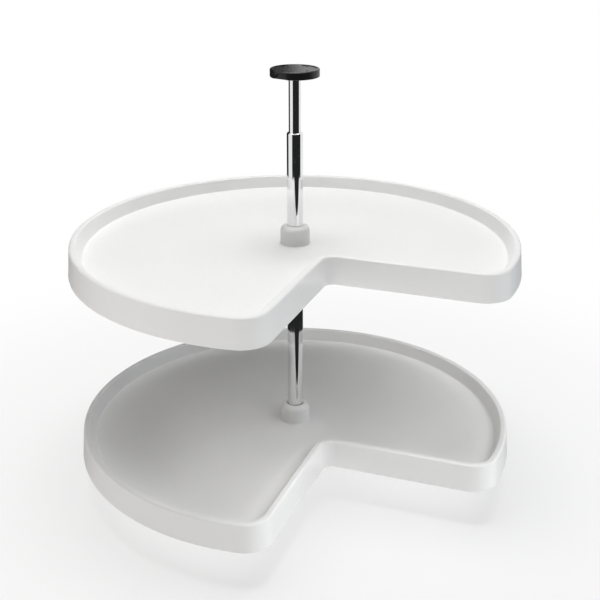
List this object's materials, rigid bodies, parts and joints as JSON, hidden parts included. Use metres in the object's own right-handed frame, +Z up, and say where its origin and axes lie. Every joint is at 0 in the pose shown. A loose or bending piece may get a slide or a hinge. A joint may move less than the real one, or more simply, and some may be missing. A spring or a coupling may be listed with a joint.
{
  "type": "corner cabinet carousel",
  "caption": "Revolving storage for a corner cabinet: white three-quarter-round trays stacked on a telescoping chromed post between a base plate and a top plate.",
  "frame": {"origin": "centre of the base plate's underside, on the post's axis, at the cabinet floor", "axes": "+Z up along the post; the notch of both trays faces -Y; +X to the right seen from the front"},
  "size_m": [0.718, 0.652, 0.686],
  "materials": {
    "white_moulding": "satin white injection moulding",
    "natural_nylon": "unpainted moulded nylon",
    "black_moulding": "satin black moulding",
    "chromed_tube": "bright chrome plating on steel tube",
    "zinc_steel": "zinc-plated steel",
    "bearing_steel": "ground and hardened steel",
    "black_screw": "blackened steel",
    "cast_base": "black powder-coated casting"
  },
  "bodies": {
    "post": {"base_plate": "cast_base", "base_screw": "zinc_steel", "outer_tube": "chromed_tube", "guide_bush": "natural_nylon", "weld_nut": "chromed_tube", "lock_screw": "black_screw", "lower_collar": "zinc_steel", "lower_collar_screw": "black_screw", "lower_bottom_race": "bearing_steel", "upper_collar": "zinc_steel", "upper_collar_screw": "black_screw", "upper_bottom_race": "bearing_steel"},
    "telescope": {"inner_tube": "chromed_tube", "inner_tube_plug": "natural_nylon", "top_plug": "zinc_steel", "top_plate": "black_moulding", "top_screw": "black_screw"},
    "lower_turntable": {"lower_tray": "white_moulding", "lower_hub_sleeve": "natural_nylon", "lower_top_race": "bearing_steel"},
    "lower_ball_ring": {"lower_cage": "natural_nylon", "lower_balls": "bearing_steel"},
    "upper_turntable": {"upper_tray": "white_moulding", "upper_hub_sleeve": "natural_nylon", "upper_top_race": "bearing_steel"},
    "upper_ball_ring": {"upper_cage": "natural_nylon", "upper_balls": "bearing_steel"}
  },
  "joints": [
    {"name": "lower_tray_spin", "type": "hinge", "parent": "post", "child": "lower_turntable", "pos_m": [0, 0, 0.1065], "axis": [0, 0, 1], "continuous": true},
    {"name": "lower_cage_spin", "type": "hinge", "parent": "post", "child": "lower_ball_ring", "pos_m": [0, 0, 0.0675], "axis": [0, 0, 1], "continuous": true},
    {"name": "upper_tray_spin", "type": "hinge", "parent": "post", "child": "upper_turntable", "pos_m": [0, 0, 0.424], "axis": [0, 0, 1], "continuous": true},
    {"name": "upper_cage_spin", "type": "hinge", "parent": "post", "child": "upper_ball_ring", "pos_m": [0, 0, 0.385], "axis": [0, 0, 1], "continuous": true},
    {"name": "telescope_slide", "type": "slide", "parent": "post", "child": "telescope", "axis": [0, 0, 1], "range_m": [-0.051, 0.102]}
  ],
  "couplings": [
    {"joint": "lower_cage_spin", "follows": "lower_tray_spin", "ratio": 0.5},
    {"joint": "upper_cage_spin", "follows": "upper_tray_spin", "ratio": 0.5}
  ]
}
